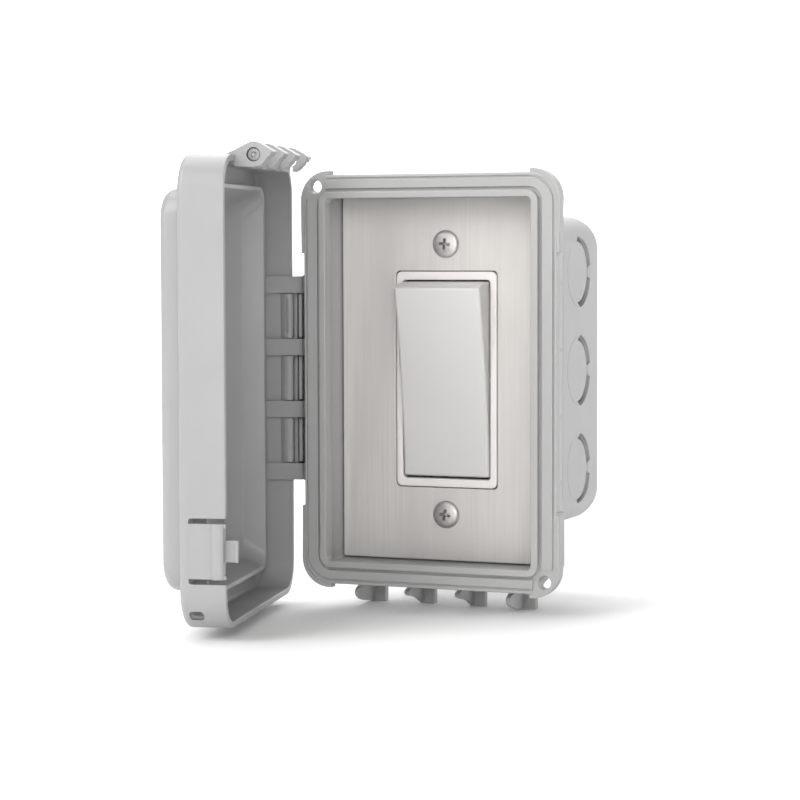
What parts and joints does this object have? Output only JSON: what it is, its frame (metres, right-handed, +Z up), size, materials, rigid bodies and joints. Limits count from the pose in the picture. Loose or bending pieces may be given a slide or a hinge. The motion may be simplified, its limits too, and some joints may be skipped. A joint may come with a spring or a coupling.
{
  "type": "weatherproof rocker wall switch",
  "caption": "Rocker wall switch behind a steel faceplate, in a recessed weatherproof frame with a hinged in-use lid, on a wall box with side knockouts.",
  "frame": {"origin": "on the wall plane, behind the middle of the cover frame and of the switch", "axes": "+X to the right seen from the room, +Y into the wall, +Z up"},
  "size_m": [0.1095, 0.1412, 0.141],
  "materials": {
    "box_plastic": "fine matt moulded grey",
    "frame_plastic": "satin moulded grey",
    "lid_plastic": "satin moulded light grey",
    "gasket_foam": "closed-cell foam",
    "faceplate_steel": "brushed along Z",
    "screw_steel": "machined",
    "zinc_steel": "zinc plated",
    "brass": "stamped",
    "green_screw": "green plated",
    "silver_contact": "silver alloy",
    "bezel_plastic": "satin white",
    "rocker_plastic": "satin white",
    "housing_plastic": "moulded grey",
    "nylon": "natural nylon",
    "spring_steel": "drawn wire"
  },
  "bodies": {
    "base": {"wall_box": "box_plastic", "box_gasket": "gasket_foam", "cover_frame": "frame_plastic", "hinge_rod": "zinc_steel", "faceplate": "faceplate_steel", "faceplate_screw_top": "screw_steel", "faceplate_screw_bottom": "screw_steel", "faceplate_gasket": "gasket_foam", "switch_bezel": "bezel_plastic", "mounting_strap": "zinc_steel", "switch_housing": "housing_plastic", "terminal_plate_upper": "brass", "terminal_plate_lower": "brass", "terminal_screw_upper": "brass", "terminal_screw_lower": "brass", "ground_screw": "green_screw", "fixed_contact": "silver_contact"},
    "rocker": {"rocker_paddle": "rocker_plastic", "contact_plunger": "nylon", "plunger_spring": "spring_steel"},
    "bridge": {"contact_bridge": "brass"},
    "lid": {"lid_shell": "lid_plastic", "spare_hinge_pin": "zinc_steel"},
    "latch": {"latch_tongue": "lid_plastic"}
  },
  "joints": [
    {"name": "lid_hinge", "type": "hinge", "parent": "base", "child": "lid", "pos_m": [-0.0448, -0.0501, 0], "axis": [0, 0, 1], "range_deg": [-48, 77]},
    {"name": "latch_flex", "type": "hinge", "parent": "lid", "child": "latch", "pos_m": [-0.03994, -0.14006, -0.04425], "axis": [0, 0, -1], "range_deg": [0, 6], "stiffness_Nm_per_rad": 0.6},
    {"name": "rocker_pivot", "type": "hinge", "parent": "base", "child": "rocker", "pos_m": [0, -0.045, 0], "axis": [1, 0, 0], "range_deg": [-16, 0]},
    {"name": "bridge_rock", "type": "hinge", "parent": "base", "child": "bridge", "pos_m": [0, -0.0277, 0], "axis": [1, 0, 0], "range_deg": [0, 12]}
  ],
  "couplings": [
    {"joint": "bridge_rock", "follows": "rocker_pivot", "ratio": -0.75}
  ]
}
